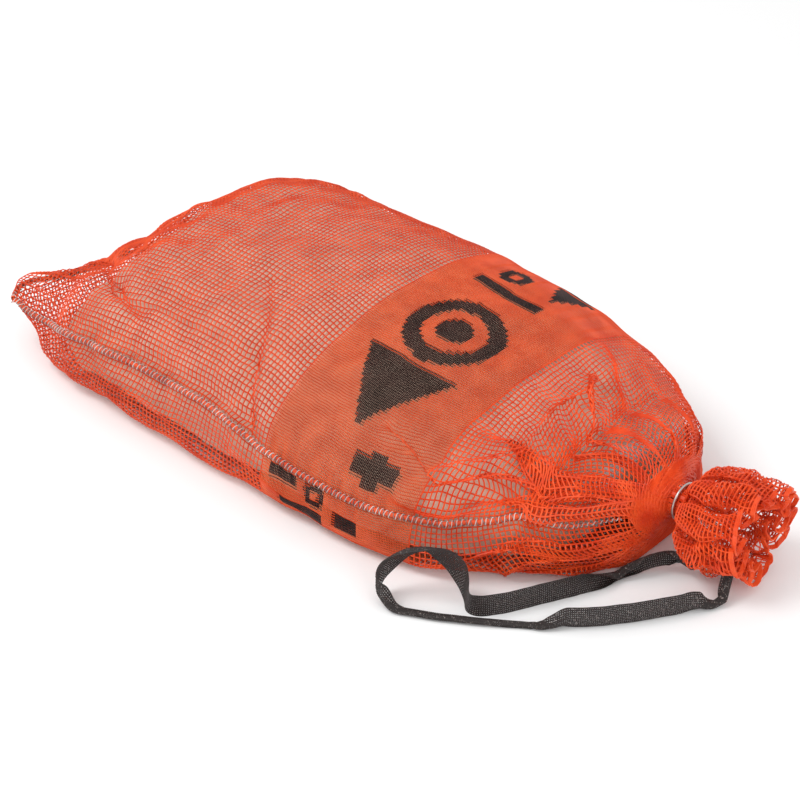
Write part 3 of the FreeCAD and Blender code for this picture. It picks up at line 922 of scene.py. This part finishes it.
# Millimetres along the tape, how far its width is rolled up and its twist in radians, and the share
# of the way that it sinks to the floor.
TAPE_SHAPE = [
    (0, 8.5, 0.0, 0.0),
    (22, 7.0, 0.0, 0.0),
    (38, 1.6, -0.3, 0.0),
    (56, 2.2, -0.3, 0.3),
    (78, 6.0, 0.0, 1.0),
    (90, 3.5, 0.0, 1.0),
    (111, 0.9, 0.0, 1.0),
    (144, 0.3, 0.0, 1.0),
    (199, 0.3, 0.0, 1.0),
    (228, 0.4, 0.1, 0.0),
    (244, 0.6, -0.3, 0.0),
    (260, 1.2, -0.95, 0.0),
    (274, 1.6, -0.8, 0.0),
    (290, 0.9, -0.35, 0.0),
    (304, 0.7, 0.0, 0.0),
    (317, 1.6, 0.0, 0.4),
    (328, 5.0, 0.0, 1.0),
    (339, 8.5, 0.0, 1.0),
    (384, 8.5, 0.0, 1.0),
    (432, 11.0, 0.0, 1.0),
    (446, 5.0, 0.0, 1.0),
    (463, 0.9, 0.0, 1.0),
    (489, 0.3, 0.0, 1.0),
    (550, 0.3, 0.0, 1.0),
    (566, 2.5, 0.0, 1.0),
    (577, 8.0, 0.0, 1.0),
    (588, 5.0, 0.0, 0.5),
    (602, 3.0, 0.0, 0.0),
]


def tape_line():
    """Points along the smooth line that has the route's points as its control points."""
    curve = bpy.data.curves.new("tape_line", "CURVE")
    curve.dimensions = "3D"
    spline = curve.splines.new("NURBS")
    spline.points.add(len(TAPE_ROUTE) - 1)
    for point, place in zip(spline.points, TAPE_ROUTE):
        point.co = (*place, 1)
    spline.order_u = 3
    spline.use_endpoint_u = True
    spline.resolution_u = 16
    holder = bpy.data.objects.new("tape_line", curve)
    bpy.context.collection.objects.link(holder)
    mesh = bpy.data.meshes.new_from_object(holder)
    line = np.array([vertex.co for vertex in mesh.vertices])
    bpy.data.objects.remove(holder)
    bpy.data.curves.remove(curve)
    bpy.data.meshes.remove(mesh)
    tails = [np.outer(np.linspace(0, 1, 9)[1:], tail) for tail in TAPE_TUCKED]
    return np.vstack([line[0] + tails[0][::-1], line, line[-1] + tails[1]])


def tape_grid(line):
    """The ribbon: at each step along its line, points across its width, rolled and twisted."""
    reached = lengths_along(line)
    table = np.array(TAPE_SHAPE)
    roll, twist, sink = [np.interp(reached, table[:, 0], table[:, k]) for k in (1, 2, 3)]
    width = TAPE_WIDTH / MM - TAPE_EDGE
    radius = width / roll
    share = np.linspace(-0.5, 0.5, TAPE_WARPS)
    angle = roll[:, None] * share
    reach = radius[:, None] * (1 + TAPE_SPIRAL * (angle + roll[:, None] / 2))
    aside = reach * np.cos(angle)
    aside -= aside.mean(axis=1, keepdims=True)
    rise = reach * np.sin(angle)
    aside += TAPE_WAVER * drift(np.outer(reached, (1, 0, 0)), 24, 31)[:, None]
    turned_aside = aside * np.cos(twist)[:, None] + rise * np.sin(twist)[:, None]
    turned_rise = rise * np.cos(twist)[:, None] - aside * np.sin(twist)[:, None]
    along = unit(np.gradient(line, axis=0))
    side = unit(np.cross(along, (0.0, 0.0, 1.0)))
    for _ in range(6):
        side = unit(np.vstack([side[:1], (side[:-2] + 2 * side[1:-1] + side[2:]) / 4, side[-1:]]))
    up = np.cross(side, along)
    grid = line[:, None] + side[:, None] * turned_aside[..., None]
    grid = grid + up[:, None] * turned_rise[..., None]
    lowest = grid[..., 2].min(axis=1)
    grid[..., 2] -= (sink * np.maximum(lowest - TAPE_CLEARANCE, 0))[:, None]
    grid[..., 2] += np.maximum(TAPE_CLEARANCE - grid[..., 2].min(axis=1), 0)[:, None]
    return grid

LENGTHWISE, CROSSWISE = (1.45, 0.5), (1.2, 0.45)  # width and thickness of the tape's threads
CROSSWISE_LIFT = 0.15


def tape_threads(grid):
    """Lengthwise and crosswise threads of the knitted tape."""
    normals = unit(np.cross(np.gradient(grid, axis=0), np.gradient(grid, axis=1)))
    lengthwise = grid.swapaxes(0, 1)
    ups = normals.swapaxes(0, 1)
    parts = [(*swept(lengthwise, ups, flat_thread(*LENGTHWISE), False), 0)]
    slanted = grid.copy()
    slanted[:-1, 1::2] = (grid[:-1, 1::2] + grid[1:, 1::2]) / 2
    slanted = slanted + normals * CROSSWISE_LIFT
    parts.append((*swept(slanted, normals, flat_thread(*CROSSWISE), False), 1))
    return parts


# ---- build ---------------------------------------------------------------------------------------


def finish_piece(thing, body, slot, *nodes):
    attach(thing, body)
    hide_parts(*nodes)


def build_tape():
    line = evenly(tape_line() / MM, TAPE_STEP)
    # Each tape material: its dark colour, and the colour of the painted glints in it.
    materials = [
        knitted_surface("tape_lengthwise", (0.016, 0.010, 0.009), (0.10, 0.08, 0.07)),
        knitted_surface("tape_crosswise", (0.022, 0.014, 0.013), (0.36, 0.31, 0.29)),
    ]
    tape = piece("draw_tape_ribbon", tape_threads(tape_grid(line)), materials)
    finish_piece(tape, "tape_loop", "tape", "draw_tape")


# Each sealed fin: node, X, near and far ends, and seed.
FINS = (
    ("liner_bottom_seal", PILLOW_FIRST - 4.2, -92, 94, 61),
    ("liner_top_seal", PILLOW_LAST + 4.6, -34, 46, 71),
)
FIN_WIDTH = 10
FILL_INSET = 2.4  # from the liner's face to the fill's


def build_pillow(rows):
    """The liner, its fill and its two fins. It gives back the liner, which the net rests on."""
    spunbond = liner_surface()
    liner = piece("liner_pillow", [(*skin(pillow_grid(rows, 0.0, 41)), 0)], [spunbond], True)
    finish_piece(liner, "sack", "liner", "liner")
    wadding = [(*skin(pillow_grid(rows, FILL_INSET, 51)), 0)]
    fill = piece("sorbent_wadding", wadding, [fill_surface()], True)
    finish_piece(fill, "sack", "fill", "sorbent_fill")
    for name, x, near, far, seed in FINS:
        strip = crimped_fin(x, near, far, PILLOW_EDGE - 1, FIN_WIDTH, seed)
        fin = piece(name + "_fin", [strip], [spunbond], True)
        finish_piece(fin, "sack", "liner", name)
    return liner


BAND_WARP_ROWS = 3  # wefts from one point of a band's warp to the next
BAND_WIDTHS = 0.62, 0.8
NECK_ROWS = 7
# Shades of the brighter copy of the net's orange, with painted glow standing in for light shining through
# the layered tape.
NET_PALE, NET_DEEP = (0.84, 0.088, 0.018), (0.66, 0.046, 0.009)
PRINT_PALE, PRINT_DEEP = (0.050, 0.022, 0.020), (0.024, 0.012, 0.011)


def band_threads(band):
    """The close-woven band: its threads lie closer than the grid's, and its warps lie outside."""
    length = np.linalg.norm(np.diff(band[:, 0], axis=0), axis=1).sum()
    dense = resampled(band[::2], round(length / BAND_PITCH))
    return woven(dense, BAND_WARP_ROWS, 1, FINE, 1, -THREAD_LIFT, BAND_WIDTHS)


def frill_threads(frill, last_row):
    """The frill, and the bunched net that runs straight under the ring to it."""
    steps = np.linspace(0, FRILL_START - NECK_X, NECK_ROWS)
    neck = np.stack([last_row + np.array([x, 0, 0]) for x in steps])
    return woven(frill, 1, FRILL_FINE, 1) + woven(neck, 1, 2, 1)


def build_net(zones, frill, glow_net_materials):
    lower, band, upper = zones
    # The lower net's own orange; the rest of the net uses a brighter copy of it with painted glow.
    lower_materials = [
        net_surface("lower_warp", (0.74, 0.078, 0.018), (0.58, 0.046, 0.010)),
        net_surface("lower_weft", (0.80, 0.092, 0.021), (0.66, 0.055, 0.012)),
    ]
    band_materials = [
        net_surface("band_warp", (0.72, 0.090, 0.022), (0.58, 0.056, 0.013)),
        net_surface("band_weft", (0.88, 0.285, 0.135), (0.80, 0.215, 0.095)),
        net_surface("band_warp_print", PRINT_PALE, PRINT_DEEP, 0.5),
        net_surface("band_weft_print", PRINT_PALE, PRINT_DEEP, 0.5),
    ]
    threads = {
        "net_lower_threads": (woven(lower, FINE, FINE, FINE), lower_materials),
        "woven_band_threads": (band_threads(band), band_materials),
        "net_upper_threads": (woven(upper, FINE, FINE, 1), glow_net_materials),
        "frill_threads": (frill_threads(frill, upper[-1]), glow_net_materials),
    }
    for (name, (parts, materials)), slot, nodes, length, held in zip(
        threads.items(),
        ("net", "band", "net", "net"),
        (("net_lower",), ("woven_band",), ("net_upper",), ("frill", "neck_gather")),
        (LOWER_LENGTH, BAND_LENGTH, UPPER_LENGTH, FRILL_CLOTH),
        ("stretched", "stretched", "gathered", "gathered"),
    ):
        thing = piece(name, parts, materials)
        finish_piece(thing, "sack", slot, *nodes)


SEAM_LAST = 243.0  # X where the side seam ends, short of the ring
SEAM_OUT = 1.4  # from the middle of the net's threads to the middle of the seam
SEAM_COARSE, SEAM_STEP = 3.0, 0.3  # steps while a seam is smoothed, and while it is stitched
SEAM_SMOOTHING, SEAM_UPS_SMOOTHING, END_SMOOTHING = 3, 40, 2
SEAM_NARROWS = 196, 238  # X over which the side seam thins out and sinks towards the neck
SEAM_SINKS = 1.5
SEAM_SIDE, SEAM_TOP = (1.0, 1.6), (0.8, 1.1)  # half sizes by the neck, and what is added elsewhere
END_SIDE, END_TOP = 2.4, 2.6  # half sizes of the bottom seam


def side_seam_parts(zones):
    points = np.vstack([zone[:-1, 0] for zone in zones])
    normals = np.vstack([grid_normals(zone)[:-1, 0] for zone in zones])
    kept = points[:, 0] < SEAM_LAST
    points, normals = points[kept], normals[kept]
    line = smoothed(evenly(points + normals * SEAM_OUT, SEAM_COARSE), SEAM_SMOOTHING)
    line = evenly(line, SEAM_STEP)
    nearest = np.argmin(np.abs(line[:, None, 0] - points[None, :, 0]), axis=1)
    ups = unit(smoothed(normals[nearest], SEAM_UPS_SMOOTHING))
    full = eased(-line[:, 0], -SEAM_NARROWS[1], -SEAM_NARROWS[0])
    line = line - ups * (SEAM_SINKS * (1 - full))[:, None]
    return overlock(line, ups, SEAM_SIDE[0] + SEAM_SIDE[1] * full, SEAM_TOP[0] + SEAM_TOP[1] * full)


def bottom_seam_parts(end_row):
    """The bottom seam runs midway between the flat end's upper and lower net."""
    across = range(COLUMNS // 2 + 1)
    line = np.array([(end_row[k] + end_row[-k % COLUMNS]) / 2 for k in across])
    line = evenly(smoothed(evenly(line, SEAM_COARSE), END_SMOOTHING), SEAM_STEP)
    ups = np.broadcast_to(np.array([0.0, 0.0, 1.0]), line.shape)
    return overlock(line, ups, END_SIDE, END_TOP)


def build_seams(zones):
    materials = [
        net_surface("stitch_white", (0.74, 0.66, 0.62), (0.46, 0.36, 0.33), 0.6),
        net_surface("stitch_grey", (0.34, 0.24, 0.22), (0.16, 0.10, 0.10), 0.6),
        net_surface("rolled_net", (0.78, 0.095, 0.024), (0.58, 0.050, 0.013), 0.5),
    ]
    side_seam = piece("side_seam_overlock", side_seam_parts(zones), materials, True)
    finish_piece(side_seam, "sack", "thread", "side_seam_thread")
    bottom_seam = piece("bottom_seam_overlock", bottom_seam_parts(zones[0][0]), materials, True)
    finish_piece(bottom_seam, "sack", "thread", "bottom_seam_thread")


# The section of the mouth's woven edge, and the cords in it.
EDGE_RIBBON = np.array([(-1.8, -0.5), (1.8, -0.5), (2.0, 0), (1.8, 0.5), (-1.8, 0.5), (-2.0, 0)])
EDGE_FORWARD = 0.8
EDGE_CORDS, EDGE_CORD_RADIUS = (-1.3, 0.0, 1.3), 0.75


def build_selvage(frill, materials):
    """The firm woven edge round the mouth: a ribbon with three cords."""
    ups = grid_normals(frill)[-1]
    forward = unit(frill[-1] - frill[-3])
    line = frill[-1] + forward * EDGE_FORWARD
    parts = [(*swept(line[None], ups[None], EDGE_RIBBON, True), 0)]
    for shift in EDGE_CORDS:
        cord = line + forward * shift
        parts.append((*swept(cord[None], ups[None], round_profile(EDGE_CORD_RADIUS), True), 1))
    selvage = piece("mouth_selvage_edge", parts, materials)
    finish_piece(selvage, "sack", "selvage", "mouth_selvage")


def give_ring_steel():
    """The neck ring is the CAD's own, with a steel material."""
    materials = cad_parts["neck_ring"].data.materials
    materials.clear()
    materials.append(steel_surface())


make_camera()
make_stage()
build_tape()
zones = net_zones(net_rows())
liner = build_pillow(net_rows(gathered=False))
# A brighter copy of the lower net's orange tape, for the upper net, neck, frill and selvage: painted
# glow, standing in for light shining through the layered translucent tape.
glow_net_materials = [
    net_surface("net_warp", NET_PALE, NET_DEEP),
    net_surface("net_weft", (0.88, 0.105, 0.022), (0.72, 0.056, 0.011)),
]
frill = frill_grid(zones[-1][-1])
build_net(zones, frill, glow_net_materials)
build_seams(zones)
build_selvage(frill, glow_net_materials)
give_ring_steel()
